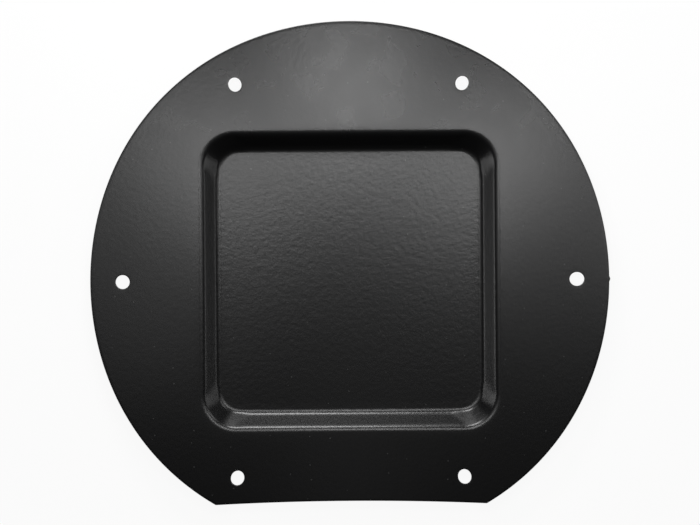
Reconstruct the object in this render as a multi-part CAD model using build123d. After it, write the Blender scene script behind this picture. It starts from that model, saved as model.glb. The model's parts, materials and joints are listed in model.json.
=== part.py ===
from build123d import *

import os
from math import cos, radians, sin, tan

# Round cover plate pressed from one sheet of steel, with a square recess and a trimmed lower
# edge. The front of the plate looks along +Z and the recess goes down from it. The origin is
# the centre of the bolt circle on the back of the flange, and +Y points away from the trimmed
# edge. All sizes are in millimetres and degrees.

# Sheet
sheet_thickness = 1.2
edge_roll = 0.3              # rounding that blanking leaves on the front edges

# Round rim: its radius is the mean one, and pressing the recess draws the edge in opposite
# the middle of each recess wall and lets it out opposite each recess corner
rim_radius = 120.0
rim_draw_in = 0.6
rim_nick_height = 0.45       # stub of the tab that held the blank in its sheet
rim_nick_radius = 1.2

# Bolt holes, evenly spaced from the +X axis, and their centres' distance from the mean rim
bolt_hole_count = 6
bolt_hole_diameter = 6.4
bolt_rim_distance = 15.5

# Lower edge: a very shallow hollow arc, whose middle runs this far outside the lowest holes
lower_edge_margin = 10.9
lower_edge_radius = 1280.0
lower_corner_radius = 0.8

# Recess, measured on the front surface between the lines where its flat faces would meet
recess_width = 135.0
recess_height = 135.0
recess_depth = 8.0
recess_wall_angle = 52.0     # from the plane of the flange
mouth_corner_radius = 14.8
floor_corner_radius = 11.1
mouth_bend_radius = 4.3      # on the front surface, where it is the outside of the bend
floor_bend_radius = 4.3      # on the front surface, where it is the inside of the bend

# The back surface lies one sheet thickness behind the front one, so its flat faces meet this
# much further out
back_margin = sheet_thickness * tan(radians(recess_wall_angle / 2))
wall_run = recess_depth / tan(radians(recess_wall_angle))

# The bolt circle follows the rim, and the lower edge follows the lowest holes
bolt_circle_radius = rim_radius - bolt_rim_distance
hole_angles = [radians(360 * place / bolt_hole_count) for place in range(bolt_hole_count)]
lowest_hole = -min(sin(angle) for angle in hole_angles) * bolt_circle_radius
lower_edge_distance = lowest_hole + lower_edge_margin


def drawn_in_rim():
    """Eight tangent arcs, each 45 degrees of turn: flatter ones opposite the recess walls and
    tighter ones opposite its corners. Their centres lie one shift to either side of the middle."""
    half_turn = radians(45 / 2)
    shift = rim_draw_in / (1 - cos(half_turn))
    flat_radius = rim_radius - rim_draw_in + shift
    joint_x = flat_radius * cos(half_turn) - shift
    joint_y = flat_radius * sin(half_turn)
    corner_middle = (rim_radius + rim_draw_in) * cos(radians(45))
    flat = ThreePointArc((joint_x, -joint_y), (rim_radius - rim_draw_in, 0), (joint_x, joint_y))
    tight = ThreePointArc((joint_x, joint_y), (corner_middle, corner_middle), (joint_y, joint_x))
    return make_face([Rot(Z=90 * turn) * arc for turn in range(4) for arc in (flat, tight)])


def blank_outline():
    """The flat outline: the drawn-in rim, its nick, and the hollow lower edge."""
    rim = drawn_in_rim()
    below = Pos(0, -lower_edge_distance - lower_edge_radius) * Circle(lower_edge_radius)
    outline = rim - below
    corners = outline.vertices().sort_by(Axis.Y)[:2]
    outline = fillet(corners, lower_corner_radius)
    nick_centre = rim_radius - rim_draw_in + rim_nick_height - rim_nick_radius
    outline += Pos(nick_centre, 0) * Circle(rim_nick_radius)
    nick_roots = outline.vertices().sort_by(Axis.X)[-2:]
    return fillet(nick_roots, rim_nick_radius)


def pan(top_level, margin):
    """The recess as a solid, from its mouth at top_level to its floor, grown by a margin."""
    width = recess_width + 2 * margin
    height = recess_height + 2 * margin
    mouth = RectangleRounded(width, height, mouth_corner_radius + margin)
    floor = RectangleRounded(
        width - 2 * wall_run, height - 2 * wall_run, floor_corner_radius + margin
    )
    return loft(
        [Pos(0, 0, top_level) * mouth, Pos(0, 0, top_level - recess_depth) * floor],
        ruled=True,
    )


def in_recess(edge):
    """True of an edge that belongs to the recess, and not to the rim or a bolt hole."""
    middle = edge @ 0.5
    return (
        abs(middle.X) < recess_width / 2 + mouth_bend_radius
        and abs(middle.Y) < recess_height / 2 + mouth_bend_radius
    )


def bend(body, level, radius):
    """Rounds the loop of recess edges that lies at one level."""
    at_level = body.edges().filter_by_position(Axis.Z, level, level)
    return fillet([edge for edge in at_level if in_recess(edge)], radius)


def cover_plate():
    """The flange with the recess hanging from it, hollowed from the front, bent and pierced."""
    flange = extrude(blank_outline(), sheet_thickness)
    body = flange + pan(0, back_margin)
    body = bend(body, 0, mouth_bend_radius - sheet_thickness)
    body = bend(body, -recess_depth, floor_bend_radius + sheet_thickness)
    body -= pan(sheet_thickness, 0)
    body = bend(body, sheet_thickness, mouth_bend_radius)
    body = bend(body, sheet_thickness - recess_depth, floor_bend_radius)
    hole = Cylinder(bolt_hole_diameter / 2, 4 * sheet_thickness)
    body -= PolarLocations(bolt_circle_radius, bolt_hole_count) * hole
    front_edges = body.edges().filter_by_position(Axis.Z, sheet_thickness, sheet_thickness)
    return fillet([edge for edge in front_edges if not in_recess(edge)], edge_roll)


os.makedirs("parts", exist_ok=True)
plate = cover_plate()
plate.label = "cover_plate"
export_step(plate, "parts/cover_plate.step")
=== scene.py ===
import json
import math

import bpy
import numpy as np
from mathutils import Matrix, Vector


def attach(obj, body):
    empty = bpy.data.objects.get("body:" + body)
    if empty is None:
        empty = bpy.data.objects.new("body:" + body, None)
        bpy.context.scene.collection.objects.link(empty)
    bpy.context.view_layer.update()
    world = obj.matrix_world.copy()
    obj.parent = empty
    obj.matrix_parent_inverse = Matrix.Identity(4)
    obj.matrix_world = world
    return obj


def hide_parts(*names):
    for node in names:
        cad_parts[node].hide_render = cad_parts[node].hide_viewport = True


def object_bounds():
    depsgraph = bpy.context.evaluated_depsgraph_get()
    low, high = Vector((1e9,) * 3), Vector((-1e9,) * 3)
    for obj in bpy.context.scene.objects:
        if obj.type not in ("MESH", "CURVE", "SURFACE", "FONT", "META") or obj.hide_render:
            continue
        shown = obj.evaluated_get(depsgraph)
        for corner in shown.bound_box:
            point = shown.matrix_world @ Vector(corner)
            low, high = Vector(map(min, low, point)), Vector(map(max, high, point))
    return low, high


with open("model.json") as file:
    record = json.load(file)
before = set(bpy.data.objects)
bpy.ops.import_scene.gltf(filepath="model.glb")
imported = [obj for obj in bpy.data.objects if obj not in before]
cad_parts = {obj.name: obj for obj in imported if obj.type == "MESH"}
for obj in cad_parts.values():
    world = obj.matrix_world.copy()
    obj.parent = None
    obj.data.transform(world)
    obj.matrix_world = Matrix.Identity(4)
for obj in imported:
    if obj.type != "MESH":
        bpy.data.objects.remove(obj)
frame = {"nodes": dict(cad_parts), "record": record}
cadLow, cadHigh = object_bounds()
mm = 0.001

# The frame's origin is the bolt circle's centre on the back of the flange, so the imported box
# gives the sheet, the depth and the rim, and the record gives the holes.
boltCircle = next(m for m in frame["record"]["mounts"] if m["kind"] == "bolt_pattern")["dims"]

plate = {
    "thickness": cadHigh.z,
    "depth": -cadLow.z,
    "rimDrawIn": 0.6 * mm,            # the rim is pulled in by this opposite each recess wall
    "edgeRoll": 0.3 * mm,             # rounding of the front edges
    "backRoll": 0.08 * mm,
    "nickHeight": cadHigh.x + cadLow.x,  # stub of the tab that held the blank in its sheet
    "nickHalfWidth": 1.5 * mm,
    "lowerEdgeRadius": 1280 * mm,
    "lowerEdgeMargin": 10.9 * mm,     # from the line of the two lower holes
    "lowerCornerBlend": 0.2 * mm,
    "mouthHalf": 67.5 * mm,           # sharp line where flange and wall would meet
    "mouthCorner": 14.8 * mm,
    "wallAngle": math.radians(52),
    "floorCorner": 11.1 * mm,
    "bendRadius": 4.3 * mm,
    "holeCircle": boltCircle["pcd_mm"] / 2 * mm,
    "holeRadius": boltCircle["hole_r_mm"] * mm,
    # small waves that pressing leaves
    "lipDrop": 0.06 * mm,             # the flange dips towards the mouth by this much
    "lipReach": 2.2 * mm,
    "dimpleDrop": 0.03 * mm,          # and a little at each hole
    "dimpleReach": 0.9 * mm,
    "floorDome": 0.12 * mm,           # the recess floor is slightly domed,
    "floorTwist": 0.08 * mm,          # with its left half a little higher than its right
    "rimWave": 0.05 * mm,             # and the flange's rim waves four times round
    "waveSamples": 241,
    "floorSpare": 0.01 * mm,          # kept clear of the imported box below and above
    "flangeSpare": 0.02 * mm,
    # spokes and rings of the mesh
    "spokes": 480,
    "nickSpokes": 15,
    "cornerSpokes": 9,
    "cornerSpread": 0.004,            # half the angle in which a lower corner's spokes stand
    "cornerShift": 1.013,             # the corners lie lower than the lower edge's middle
    "spokeGap": 0.0004,               # no added spoke comes nearer than this to an even one
    "outlineStep": 1e-4,              # angle over which the outline's direction is taken
    "floorRings": 16,
    "bendRings": 9,
    "wallRings": 4,
    "flangeRings": 36,
    "rollRings": 5,
    "backRollRings": 3,
    "collarAngle": math.radians(3.675),  # half the block of the grid that a hole's collar fills
    "collarReach": 6.4 * mm,
    "collarLeastRings": 4,
    "collarShares": [0.72, 0.48, 0.29, 0.15, 0.06, 0.0],   # its rings, from the border inwards
}
plate["rimRadius"] = plate["rimDrawIn"] - cadLow.x
plate["lowerEdge"] = plate["holeCircle"] * math.sin(math.radians(60)) + plate["lowerEdgeMargin"]
# the bends' lines lie a tangent's length away from the sharp lines
plate["tangent"] = plate["bendRadius"] * math.tan(plate["wallAngle"] / 2)
plate["bendMouthHalf"] = plate["mouthHalf"] + plate["tangent"]
plate["bendFloorHalf"] = (
    plate["mouthHalf"] - plate["depth"] / math.tan(plate["wallAngle"]) - plate["tangent"]
)

# forming has pulled each hole a little oval: direction of its long axis, long and short diameter
holeOvals = [
    (3, 6.75, 6.35), (65, 6.65, 6.0), (112, 6.6, 6.05),
    (0, 6.45, 6.4), (70, 6.8, 6.05), (107, 6.8, 6.05),
]
holeAngles = np.radians(np.arange(boltCircle["count"]) * 360 / boltCircle["count"])
holeX, holeY = plate["holeCircle"] * np.cos(holeAngles), plate["holeCircle"] * np.sin(holeAngles)

# The rim's radius less the draw-in times the cosine of four times the angle, plus the nick's
# raised cosine, blended into the ray's distance to the shallow arc of the lower edge.
def outlineRadius(angle):
    p = plate
    across = p["rimRadius"] * np.sin(angle)
    atNick = (np.abs(across) < p["nickHalfWidth"]) & (np.cos(angle) > 0)
    nick = p["nickHeight"] * (0.5 + 0.5 * np.cos(np.pi * across / p["nickHalfWidth"]))
    rim = p["rimRadius"] - p["rimDrawIn"] * np.cos(4 * angle) + np.where(atNick, nick, 0)
    centre = p["lowerEdge"] + p["lowerEdgeRadius"]
    down = -np.sin(angle) * centre
    inside = down ** 2 - centre ** 2 + p["lowerEdgeRadius"] ** 2
    hit = (down > 0) & (inside > 0)
    lower = np.where(hit, down - np.sqrt(np.where(hit, inside, 0)), 1.0)
    blend = p["lowerCornerBlend"]
    share = np.clip(0.5 + 0.5 * (lower - rim) / blend, 0, 1)
    return lower + (rim - lower) * share - blend * share * (1 - share)


# The outline's point at an angle: its radius times the cosine and the sine.
def outlinePoint(angle):
    radius = outlineRadius(angle)
    return radius * np.cos(angle), radius * np.sin(angle)


# Where a ray from the centre meets a rounded square, and the square's outward normal there: on a
# side, half over the cosine; on a corner, the far root of the ray and circle equation.
def roundedSquare(angle, half, corner):
    ux, uy = np.cos(angle), np.sin(angle)
    ax, ay = np.abs(ux), np.abs(uy)
    sideX, sideY = half / np.maximum(ax, 1e-9), half / np.maximum(ay, 1e-9)
    inner = half - corner
    onX, onY = ay * sideX <= inner, ax * sideY <= inner
    along = (ax + ay) * inner
    arc = along + np.sqrt(np.maximum(along ** 2 - 2 * inner ** 2 + corner ** 2, 0))
    radius = np.where(onX, sideX, np.where(onY, sideY, arc))
    nx = np.where(onX, 1, np.where(onY, 0, (arc * ax - inner) / corner)) * np.sign(ux)
    ny = np.where(onX, 0, np.where(onY, 1, (arc * ay - inner) / corner)) * np.sign(uy)
    size = np.hypot(nx, ny)
    return radius, nx / size, ny / size


# Where the upper bend ends in the flange: the mouth's rounded square, a tangent's length larger.
def mouthLine(angle):
    return roundedSquare(angle, plate["bendMouthHalf"], plate["mouthCorner"] + plate["tangent"])


# Where the lower bend begins at the floor: a rounded square too, a tangent's length smaller.
def floorLine(angle):
    return roundedSquare(angle, plate["bendFloorHalf"], plate["floorCorner"] - plate["tangent"])


# Height of the recess floor's wave: the dome times one half wave across and one up, plus the
# twist times a whole wave across and one half wave up; all die at the floor's sides.
def floorWave(x, y):
    half = plate["bendFloorHalf"]
    across = (np.clip(x / half, -1, 1) + 1) * np.pi / 2
    up = (np.clip(y / half, -1, 1) + 1) * np.pi / 2
    return (plate["floorDome"] * np.sin(across) + plate["floorTwist"] * np.sin(2 * across)) * np.sin(up)


# Height of the flange's wave: its size at the rim, times the square of the share of the way from
# the mouth to the rim, times minus the cosine of four times the angle. It is lowest opposite the
# walls.
def flangeWave(x, y):
    angle = np.arctan2(y, x)
    mouthEdge, _, _ = mouthLine(angle)
    share = np.clip((np.hypot(x, y) - mouthEdge) / (plate["rimRadius"] - mouthEdge), 0, 1.1)
    return -plate["rimWave"] * share ** 2 * np.cos(4 * angle)


# The dip at the holes dies away from each hole's edge as an exponential.
def dimples(x, y):
    away = np.hypot(x[..., None] - holeX, y[..., None] - holeY) - plate["holeRadius"]
    return -plate["dimpleDrop"] * np.exp(-np.maximum(away, 0) / plate["dimpleReach"]).sum(-1)


# how far the floor's waves reach down and the flange's reach up, so that both can be moved back
# inside the sheet's own levels
side = np.linspace(-plate["rimRadius"], plate["rimRadius"], plate["waveSamples"])
testX, testY = np.meshgrid(side, side)
insideRim = np.hypot(testX, testY) < plate["rimRadius"]
floorLift = plate["floorSpare"] - floorWave(testX, testY).min()
flangeTop = plate["flangeSpare"] + flangeWave(testX, testY)[insideRim].max()
print(f"waves: floor lifted {floorLift / mm:.2f} mm, flange lowered {flangeTop / mm:.2f} mm")


# All the small heights together; rise is 0 on the floor and 1 on the flange.
def sheetWave(x, y, rise):
    moved = floorLift * (1 - rise) - flangeTop * rise
    return floorWave(x, y) + flangeWave(x, y) + dimples(x, y) + moved


# Even spokes, with more of them at the nick and at the two lower corners.
def spokeAngles():
    even = np.arange(plate["spokes"]) * 2 * np.pi / plate["spokes"]
    nickReach = plate["nickHalfWidth"] / plate["rimRadius"]
    nick = np.linspace(-nickReach, nickReach, plate["nickSpokes"])
    cornerAngle = math.asin(plate["lowerEdge"] / plate["rimRadius"] * plate["cornerShift"])
    offsets = np.linspace(-plate["cornerSpread"], plate["cornerSpread"], plate["cornerSpokes"])
    corners = np.concatenate([-cornerAngle + offsets, np.pi + cornerAngle + offsets])
    extra = np.concatenate([nick, corners]) % (2 * np.pi)
    near = np.min(np.abs(extra[:, None] - even[None, :]), axis=1)
    return np.sort(np.concatenate([even, extra[near > plate["spokeGap"]]]))


# The outline's points on the spokes, and its outward normal there from points a step either side.
def plateOutline(angle):
    x, y = outlinePoint(angle)
    beforeX, beforeY = outlinePoint(angle - plate["outlineStep"])
    afterX, afterY = outlinePoint(angle + plate["outlineStep"])
    dx, dy = afterX - beforeX, afterY - beforeY
    length = np.hypot(dx, dy)
    return x, y, dy / length, -dx / length


# Equal shares of a way, without its start, as a column.
def shares(count):
    return np.linspace(0, 1, count + 1)[1:, None]


# The front and the back as rings of points, from the recess floor out to the rim. Across the wall
# the height is a circular bend, a slope and a circular bend back, and the back is the front moved
# one thickness against its normal.
def sheetRings(angle, outline):
    p = plate
    radius, depth = p["bendRadius"], p["depth"]
    floorEdge, floorNx, floorNy = floorLine(angle)
    mouthEdge, mouthNx, mouthNy = mouthLine(angle)
    width = (mouthEdge - floorEdge) * (np.cos(angle) * mouthNx + np.sin(angle) * mouthNy)
    # the wall's slope follows from its width: the half-angle's tangent solves a quadratic
    spare = 4 * radius - depth
    turn = 2 * np.arctan((width - np.sqrt(width ** 2 - spare * depth)) / spare)
    bendRun, bendRise = radius * np.sin(turn), radius * (1 - np.cos(turn))

    # from the floor's edge to the mouth's: run, rise and lean of each ring
    wallPart = shares(p["wallRings"])
    lowLean = turn * shares(p["bendRings"])
    highLean = turn * np.linspace(1, 0, p["bendRings"] + 1)[1:, None]
    run = np.concatenate([
        radius * np.sin(lowLean), bendRun + (width - 2 * bendRun) * wallPart,
        width - radius * np.sin(highLean),
    ])
    rise = np.concatenate([
        radius * (1 - np.cos(lowLean)), bendRise + (depth - 2 * bendRise) * wallPart,
        depth - radius * (1 - np.cos(highLean)),
    ])
    lean = np.concatenate([lowLean, turn + 0 * wallPart, highLean])
    share = run / width
    wallAway = floorEdge + (mouthEdge - floorEdge) * share
    floorAway = floorEdge * shares(p["floorRings"])
    away = np.concatenate([floorAway, wallAway])
    x, y = away * np.cos(angle), away * np.sin(angle)

    # from the mouth straight out to where the rim's rolled edge begins
    outX, outY, outNx, outNy = outline
    part = shares(p["flangeRings"])
    mouthX, mouthY = x[-1], y[-1]
    x = np.concatenate([x, mouthX + (outX - p["edgeRoll"] * outNx - mouthX) * part])
    y = np.concatenate([y, mouthY + (outY - p["edgeRoll"] * outNy - mouthY) * part])
    still, flat = 0 * floorAway, 0 * part * angle
    rise = np.concatenate([still, rise, flat + depth]) / depth
    lean = np.concatenate([still, lean, flat])
    share = np.concatenate([still, share, flat + 1])

    # past the mouth the flange dips a little towards it
    outside = np.arange(len(x))[:, None] >= len(away) - 1
    fade = np.exp(-np.hypot(x - mouthX, y - mouthY) / p["lipReach"])
    drop = p["lipDrop"] * np.where(outside, fade, rise)
    z = p["thickness"] - depth * (1 - rise) - drop + sheetWave(x, y, rise)

    nx = floorNx + (mouthNx - floorNx) * share
    ny = floorNy + (mouthNy - floorNy) * share
    size = np.hypot(nx, ny)
    normal = np.stack([-nx / size * np.sin(lean), -ny / size * np.sin(lean), np.cos(lean)], -1)
    front = np.stack([x, y, z], -1)
    return front, front - p["thickness"] * normal


# How far inside the outline and below the front each line of the cut edge lies: a quarter round
# at the front, the straight cut, and a much smaller quarter round at the back.
def edgeSteps():
    p = plate
    roll = np.linspace(0, np.pi / 2, p["rollRings"] + 1)[1:]
    foot = np.linspace(0, np.pi / 2, p["backRollRings"])
    inward = np.concatenate([p["edgeRoll"] * (1 - np.sin(roll)), p["backRoll"] * (1 - np.cos(foot))])
    below = np.concatenate([
        -p["edgeRoll"] * (1 - np.cos(roll)), -p["thickness"] + p["backRoll"] * (1 - np.sin(foot)),
    ])
    return list(zip(inward, below))


# The block of the front's grid round a hole: its spokes in order, and its first and last ring.
def holeBlock(hole, angle, front):
    offset = (angle - hole + np.pi) % (2 * np.pi) - np.pi
    spokes = np.where(np.abs(offset) < plate["collarAngle"])[0]
    spokes = spokes[np.argsort(offset[spokes])]
    away = np.hypot(*front[:, np.argmin(np.abs(offset)), :2].T)
    near = int(np.argmin(np.abs(away - plate["holeCircle"])))
    half = round(plate["collarReach"] / (away[near + 1] - away[near]))
    half = max(plate["collarLeastRings"], half)
    return spokes, near - half, near + half


# The block's border as ring and spoke numbers, once round from its inner side.
def blockBorder(spokes, low, high):
    rings = np.arange(low, high + 1)
    ring = np.concatenate([
        np.full(len(spokes), low), rings[1:], np.full(len(spokes) - 1, high), rings[-2:0:-1],
    ])
    spoke = np.concatenate([
        spokes[::-1], np.full(len(rings) - 1, spokes[0]), spokes[1:],
        np.full(len(rings) - 2, spokes[-1]),
    ])
    return ring[::-1], spoke[::-1]


# Rings from the block's border down through a hole and out again on the back. A ring is the share
# of the way back from the hole's edge to the border; the hole is an ellipse turned to its long
# axis, grown by the edge's roll.
def collarRings(place, borderX, borderY):
    axis, long, short = holeOvals[place]
    axis = math.radians(axis)
    about = np.arctan2(borderY - holeY[place], borderX - holeX[place]) - axis

    def oval(grow):
        ex, ey = (long / 2 * mm + grow) * np.cos(about), (short / 2 * mm + grow) * np.sin(about)
        return (holeX[place] + ex * math.cos(axis) - ey * math.sin(axis),
                holeY[place] + ex * math.sin(axis) + ey * math.cos(axis))

    def level(x, y, height):
        return np.stack([x, y, height + sheetWave(x, y, 1)], -1)

    edgeX, edgeY = oval(plate["edgeRoll"])
    lines = [
        (edgeX + (borderX - edgeX) * share, edgeY + (borderY - edgeY) * share)
        for share in plate["collarShares"]
    ]
    front = [level(x, y, plate["thickness"]) for x, y in lines]
    wall = [
        np.stack([*oval(inward), front[-1][:, 2] + below], -1) for inward, below in edgeSteps()
    ]
    back = [level(x, y, 0) for x, y in lines[-2::-1]]
    return np.array(front + wall + back)


# Faces between neighbouring rings, all round: each point, the next ring's, and their neighbours.
def quads(ids):
    after = np.roll(ids, -1, axis=1)
    return np.stack([ids[:-1], ids[1:], after[1:], after[:-1]], -1)


# One closed mesh: front rings, rim edge, back rings, a collar of rings at each hole, and a fan of
# triangles at the middle of the front and of the back.
def makePlate():
    angle = spokeAngles()
    outline = plateOutline(angle)
    front, back = sheetRings(angle, outline)
    outX, outY, outNx, outNy = outline
    rimLevel = front[-1, :, 2]
    lines = edgeSteps() + [(plate["edgeRoll"], -plate["thickness"])]
    edge = np.array([
        np.stack([outX - inward * outNx, outY - inward * outNy, rimLevel + below], -1)
        for inward, below in lines
    ])
    grid = np.concatenate([front, edge, back[-2::-1]])
    rows, count = grid.shape[:2]
    index = np.arange(rows * count).reshape(rows, count)
    poles = [[0, 0, front[0, :, 2].mean()], [0, 0, back[0, :, 2].mean()]]
    points, used = [grid.reshape(-1, 3), np.array(poles)], rows * count + 2

    keep = np.ones((rows - 1, count), bool)
    faces = []
    for place, hole in enumerate(holeAngles):
        spokes, low, high = holeBlock(hole, angle, front)
        keep[low:high, spokes[:-1]] = False
        keep[rows - 1 - high:rows - 1 - low, spokes[:-1]] = False
        ring, spoke = blockBorder(spokes, low, high)
        loops = collarRings(place, front[ring, spoke, 0], front[ring, spoke, 1])
        points.append(loops.reshape(-1, 3))
        ids = used + np.arange(loops.shape[0] * loops.shape[1]).reshape(loops.shape[:2])
        used += ids.size
        ids = np.concatenate([index[ring, spoke][None], ids, index[rows - 1 - ring, spoke][None]])
        faces += quads(ids).reshape(-1, 4).tolist()
    faces = quads(index)[keep].tolist() + faces
    first, last = index[0], index[-1]
    faces += np.stack([np.full(count, rows * count), first, np.roll(first, -1)], -1).tolist()
    faces += np.stack([np.full(count, rows * count + 1), np.roll(last, -1), last], -1).tolist()

    # only the points that some face uses are kept
    kept = np.unique(np.concatenate(faces))
    renumber = np.zeros(kept.max() + 1, int)
    renumber[kept] = np.arange(len(kept))
    data = bpy.data.meshes.new("pressed_plate")
    data.from_pydata(np.concatenate(points)[kept].tolist(), [], [renumber[f].tolist() for f in faces])
    data.validate()
    data.polygons.foreach_set("use_smooth", np.ones(len(data.polygons), bool))
    data.update()
    piece = bpy.data.objects.new("pressed_plate", data)
    bpy.context.scene.collection.objects.link(piece)
    return piece


pressedPlate = makePlate()
print("plate: points", len(pressedPlate.data.vertices), "faces", len(pressedPlate.data.polygons))
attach(pressedPlate, "root")
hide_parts("cover_plate")


coat = {
    "colour": (0.0032, 0.0032, 0.0034, 1),
    "roughness": 0.28,
    "refraction": 1.5,
    "peelSize": 1.9 * mm,             # orange peel left by the powder as it flows
    "peelDetail": 1.5,
    "peelHeight": 0.06 * mm,
    "flangePeel": 0.5,                # share of it on the flange, where the coat is thinner
    "smearSize": 13 * mm,             # cloudy wipe marks near the top of the flange
    "smearDetail": 3,
    "smearDistortion": 0.6,
    "smearRange": (0.3, 0.7),         # the noise's values between which a smear comes and goes
    "smearRoughness": 0.011,
    "smearFrom": 45 * mm,
    "smearTo": 85 * mm,
    "dustSpacing": 9 * mm,
    "dustSize": 0.034,                # radius of the largest speck as a share of the spacing
    "dustShare": 0.45,                # share of the lattice's cells that have a speck
    "dustColour": (0.045, 0.045, 0.045, 1),
}


# Black powder coat. Bump: fine noise, weaker on the flange. Roughness: the coat's own value plus
# cloudy noise that fades in towards the top of the flange. Colour: the coat's own, and grey in
# small spots round the points of a random lattice, in some of its cells.
def powderCoat():
    material = bpy.data.materials.new("black_powder_coat")
    material.use_nodes = True
    nodes, links = material.node_tree.nodes, material.node_tree.links
    shader = nodes["Principled BSDF"]
    shader.inputs["IOR"].default_value = coat["refraction"]
    place = nodes.new("ShaderNodeTexCoord").outputs["Object"]
    axes = nodes.new("ShaderNodeSeparateXYZ")
    links.new(place, axes.inputs[0])

    def noise(size, detail, distortion=0.0):
        node = nodes.new("ShaderNodeTexNoise")
        node.inputs["Scale"].default_value = 1 / size
        node.inputs["Detail"].default_value = detail
        node.inputs["Distortion"].default_value = distortion
        links.new(place, node.inputs["Vector"])
        return node.outputs["Fac"]

    # smooth step from one pair of values to another
    def remap(value, fromLow, fromHigh, toLow, toHigh):
        node = nodes.new("ShaderNodeMapRange")
        node.interpolation_type = "SMOOTHSTEP"
        node.inputs["From Min"].default_value = fromLow
        node.inputs["From Max"].default_value = fromHigh
        node.inputs["To Min"].default_value = toLow
        node.inputs["To Max"].default_value = toHigh
        links.new(value, node.inputs["Value"])
        return node.outputs["Result"]

    def combine(operation, first, second):
        node = nodes.new("ShaderNodeMath")
        node.operation = operation
        for socket, value in zip(node.inputs, (first, second)):
            if isinstance(value, float):
                socket.default_value = value
            else:
                links.new(value, socket)
        return node.outputs[0]

    bump = nodes.new("ShaderNodeBump")
    bump.inputs["Distance"].default_value = coat["peelHeight"]
    links.new(noise(coat["peelSize"], coat["peelDetail"]), bump.inputs["Height"])
    strength = remap(axes.outputs["Z"], -plate["depth"] / 2, 0, 1, coat["flangePeel"])
    links.new(strength, bump.inputs["Strength"])
    links.new(bump.outputs["Normal"], shader.inputs["Normal"])

    clouds = noise(coat["smearSize"], coat["smearDetail"], coat["smearDistortion"])
    clouds = remap(clouds, *coat["smearRange"], -1, 1)
    upper = remap(axes.outputs["Y"], coat["smearFrom"], coat["smearTo"], 0, coat["smearRoughness"])
    smears = combine("MULTIPLY", clouds, upper)
    links.new(combine("ADD", smears, coat["roughness"]), shader.inputs["Roughness"])

    cells = nodes.new("ShaderNodeTexVoronoi")
    cells.voronoi_dimensions = "2D"
    cells.inputs["Scale"].default_value = 1 / coat["dustSpacing"]
    links.new(place, cells.inputs["Vector"])
    chance = nodes.new("ShaderNodeSeparateColor")
    links.new(cells.outputs["Color"], chance.inputs[0])
    size = remap(chance.outputs[0], 1 - coat["dustShare"], 1, 0, coat["dustSize"])
    spot = combine("LESS_THAN", cells.outputs["Distance"], size)
    colour = nodes.new("ShaderNodeMix")
    colour.data_type = "RGBA"
    colour.inputs["A"].default_value = coat["colour"]
    colour.inputs["B"].default_value = coat["dustColour"]
    links.new(spot, colour.inputs["Factor"])
    links.new(colour.outputs["Result"], shader.inputs["Base Color"])
    return material


powder = powderCoat()
pressedPlate.data.materials.append(powder)
cadPlate = frame["nodes"]["cover_plate"]
cadPlate.data.materials.clear()
cadPlate.data.materials.append(powder)
print("coat: black powder coat on the pressed plate and on the CAD plate under it")


studio = {
    "floorSize": 6.0,
    "floorColour": (0.9, 0.9, 0.9, 1),
    "floorRoughness": 0.9,
    "glow": 0.93,                     # share of plain white in the floor that the camera sees
    "worldStrength": 0.03,            # dim fill from all round
    "backgroundStrength": 1.0,        # and the same world as the camera sees it, white
}


# A square at the depth of the recess floor. Its white is the glow's share for camera and glossy
# rays, so that a little of the shadow stays, and none for the rays that light the plate.
def makeFloor():
    half = studio["floorSize"] / 2
    z = cadLow.z
    corners = [(-half, -half, z), (half, -half, z), (half, half, z), (-half, half, z)]
    data = bpy.data.meshes.new("floor")
    data.from_pydata(corners, [], [(0, 1, 2, 3)])
    floor = bpy.data.objects.new("floor", data)
    bpy.context.scene.collection.objects.link(floor)
    material = bpy.data.materials.new("pale_floor")
    material.use_nodes = True
    nodes, links = material.node_tree.nodes, material.node_tree.links
    shader = nodes["Principled BSDF"]
    shader.inputs["Base Color"].default_value = studio["floorColour"]
    shader.inputs["Roughness"].default_value = studio["floorRoughness"]
    shader.inputs["Specular IOR Level"].default_value = 0.0
    white = nodes.new("ShaderNodeEmission")
    rays = nodes.new("ShaderNodeLightPath")
    seen = nodes.new("ShaderNodeMath")
    seen.operation = "MAXIMUM"
    links.new(rays.outputs["Is Camera Ray"], seen.inputs[0])
    links.new(rays.outputs["Is Glossy Ray"], seen.inputs[1])
    share = nodes.new("ShaderNodeMath")
    share.operation = "MULTIPLY"
    share.inputs[1].default_value = studio["glow"]
    links.new(seen.outputs[0], share.inputs[0])
    mix = nodes.new("ShaderNodeMixShader")
    links.new(share.outputs[0], mix.inputs["Fac"])
    links.new(shader.outputs["BSDF"], mix.inputs[1])
    links.new(white.outputs["Emission"], mix.inputs[2])
    links.new(mix.outputs["Shader"], nodes["Material Output"].inputs["Surface"])
    data.materials.append(material)


makeFloor()
print("floor: pale, under the recess")

# Soft boxes, all at the same distance: angle from straight up, bearing from +X towards +Y, and
# brightness.
softBoxes = {
    "overheadRight": (18, 40, 8.07),
    "overheadBack": (18, 90, 10.4),
    "overheadLeft": (18, 140, 7.11),
    "overheadFront": (18, 270, 0.248),
    "sideRight": (20, 350, 0.28),
    "sideLeft": (20, 190, 0.617),
    "highRight": (32, 15, 2.22),
    "highLeft": (32, 165, 0.958),
    "mainRight": (58, 35, 3.86),
    "mainBack": (58, 100, 19.3),
    "lowLeft": (72, 120, 1.38),
    "horizonRight": (85, 0, 1.98),
    "horizonBack": (85, 90, 2.67),
    "horizonLeft": (85, 180, 3.13),
}
boxShape = {
    "distance": 0.36,
    "tall": math.radians(14),
    "wide": math.radians(30),
    "leastSine": 0.156,               # keeps a box straight overhead from having no width
}


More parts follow.
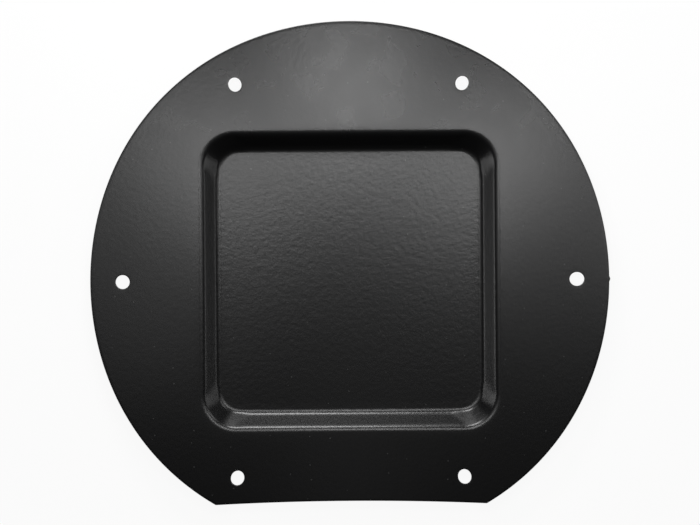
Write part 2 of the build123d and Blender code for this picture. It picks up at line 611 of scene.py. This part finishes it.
# Each box faces the origin. Its height and width are angles times the distance, the width also
# times the sine of its angle from straight up, and its power is its brightness times pi times its
# area.
def makeSoftBox(name, polar, bearing, brightness):
    polar, bearing = math.radians(polar), math.radians(bearing)
    away = boxShape["distance"]
    outward = Vector((
        math.sin(polar) * math.cos(bearing), math.sin(polar) * math.sin(bearing), math.cos(polar),
    ))
    across = Vector((-math.sin(bearing), math.cos(bearing), 0))
    data = bpy.data.lights.new(name, "AREA")
    data.shape = "RECTANGLE"
    data.size = away * max(math.sin(polar), boxShape["leastSine"]) * boxShape["wide"]
    data.size_y = away * boxShape["tall"]
    data.energy = brightness * math.pi * data.size * data.size_y
    light = bpy.data.objects.new(name, data)
    turn = Matrix((across, outward.cross(across), outward)).transposed().to_4x4()
    turn.translation = outward * away
    light.matrix_world = turn
    light.visible_camera = False
    bpy.context.scene.collection.objects.link(light)


for name, box in softBoxes.items():
    makeSoftBox(name, *box)
print("lamps:", len(softBoxes), "soft boxes")


# White where the camera looks past the floor, and a dim white fill for every other ray.
def makeWorld():
    world = bpy.data.worlds.new("studio")
    world.use_nodes = True
    nodes, links = world.node_tree.nodes, world.node_tree.links
    background = nodes["Background"]
    background.inputs["Color"].default_value = (1, 1, 1, 1)
    rays = nodes.new("ShaderNodeLightPath")
    strength = nodes.new("ShaderNodeMapRange")
    strength.inputs["To Min"].default_value = studio["worldStrength"]
    strength.inputs["To Max"].default_value = studio["backgroundStrength"]
    links.new(rays.outputs["Is Camera Ray"], strength.inputs["Value"])
    links.new(strength.outputs["Result"], background.inputs["Strength"])
    bpy.context.scene.world = world


makeWorld()

view = {
    "lens": 135,
    "sensor": 36,
    "width": 321.916 * mm,            # what the camera takes in from side to side, at the flange
    "aside": (0.16 * mm, 8.28 * mm),  # its axis passes the bolt circle's centre by this much
    "roll": -0.4,                     # degrees
    "nearest": 0.01,
    "farthest": 20,
}


# Straight above the plate, at the lens's length over the sensor's width times the view's width.
def makeCamera():
    data = bpy.data.cameras.new("camera")
    data.lens, data.sensor_width = view["lens"], view["sensor"]
    data.clip_start, data.clip_end = view["nearest"], view["farthest"]
    camera = bpy.data.objects.new("camera", data)
    height = view["lens"] / view["sensor"] * view["width"]
    camera.location = (*view["aside"], plate["thickness"] + height)
    camera.rotation_euler = (0, 0, math.radians(view["roll"]))
    bpy.context.scene.collection.objects.link(camera)
    bpy.context.scene.camera = camera
    print(f"camera: {height:.3f} m above the flange, looking straight down")


makeCamera()
bpy.context.scene.view_settings.view_transform = "Standard"
